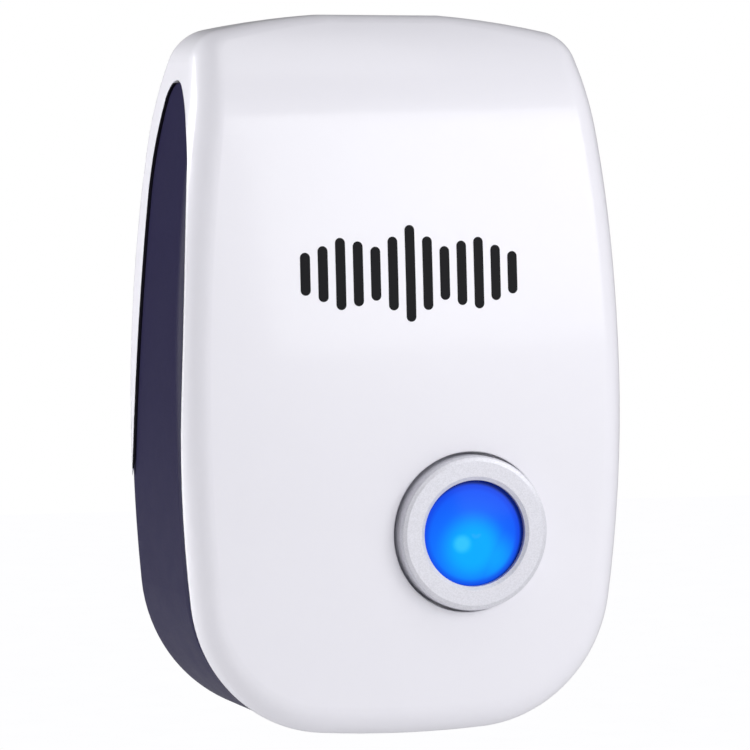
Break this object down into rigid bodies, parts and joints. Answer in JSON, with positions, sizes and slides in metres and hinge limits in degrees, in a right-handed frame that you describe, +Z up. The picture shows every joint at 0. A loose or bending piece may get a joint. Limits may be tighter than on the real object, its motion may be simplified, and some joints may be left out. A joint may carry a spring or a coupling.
{
  "type": "ultrasonic pest repeller",
  "caption": "Plug-in ultrasonic pest repeller with a crowned white cover, dark side panels, a ringed blue-lit push button and flat mains blades at the back.",
  "frame": {"origin": "centre of the plug, between the blades, on the plane of the wall", "axes": "+Y out of the back along the blades, into the socket; +Z up; +X to the right as seen from the front, which faces -Y"},
  "size_m": [0.062, 0.0478, 0.0944],
  "materials": {
    "cover_white": "gloss",
    "housing_dark": "satin",
    "insert_dark": "matt",
    "blade_nickel": "nickel plated",
    "screw_steel": "zinc plated",
    "lead_black": "matt",
    "board_green": "solder mask",
    "capacitor_yellow": "satin",
    "capacitor_sleeve": "gloss",
    "component_black": "matt",
    "resistor_body": "matt",
    "ferrite": "matt",
    "bobbin": "matt",
    "copper_wire": "enamelled",
    "mesh_black": "woven",
    "holder_rubber": "matt",
    "can_metal": "satin",
    "base_plastic": "matt",
    "piezo_ceramic": "matt",
    "pin_metal": "tinned",
    "ring_silver": "satin metallic paint",
    "lens_blue": "clear gloss",
    "diffuser_white": "milky",
    "carrier_white": "matt",
    "switch_black": "matt",
    "plunger_white": "matt",
    "spring_steel": "bright",
    "lamp_blue": "clear"
  },
  "bodies": {
    "case": {"front_cover": "cover_white", "rear_housing": "housing_dark", "plug_insert": "insert_dark", "blade_clamp": "insert_dark", "live_blade": "blade_nickel", "neutral_blade": "blade_nickel", "housing_screws": "screw_steel", "clamp_screws": "screw_steel", "board_screws": "screw_steel", "live_lead": "lead_black", "neutral_lead": "lead_black", "transducer_leads": "lead_black", "circuit_board": "board_green", "film_capacitor": "capacitor_yellow", "filter_capacitors": "capacitor_sleeve", "rectifier_diodes": "component_black", "controller_chip": "component_black", "driver_transistors": "component_black", "fusible_resistor": "resistor_body", "resistors": "resistor_body", "drive_coil_core": "ferrite", "drive_coil_bobbin": "bobbin", "drive_coil_winding": "copper_wire", "dust_mesh": "mesh_black", "transducer_holder": "holder_rubber", "transducer_can": "can_metal", "transducer_cone": "can_metal", "transducer_base": "base_plastic", "piezo_disc": "piezo_ceramic", "transducer_pins": "pin_metal", "switch_pins": "pin_metal", "switch_housing": "switch_black", "switch_spring": "spring_steel", "night_light_leds": "lamp_blue"},
    "button": {"button_ring": "ring_silver", "button_lens": "lens_blue", "light_diffuser": "diffuser_white", "button_carrier": "carrier_white", "switch_plunger": "plunger_white"}
  },
  "joints": [
    {"name": "button_press", "type": "slide", "parent": "case", "child": "button", "axis": [0, 1, 0], "range_m": [0, 0.0012], "stiffness_N_per_m": 1500, "springref_m": -0.0006, "deforming": ["switch_spring"]}
  ]
}
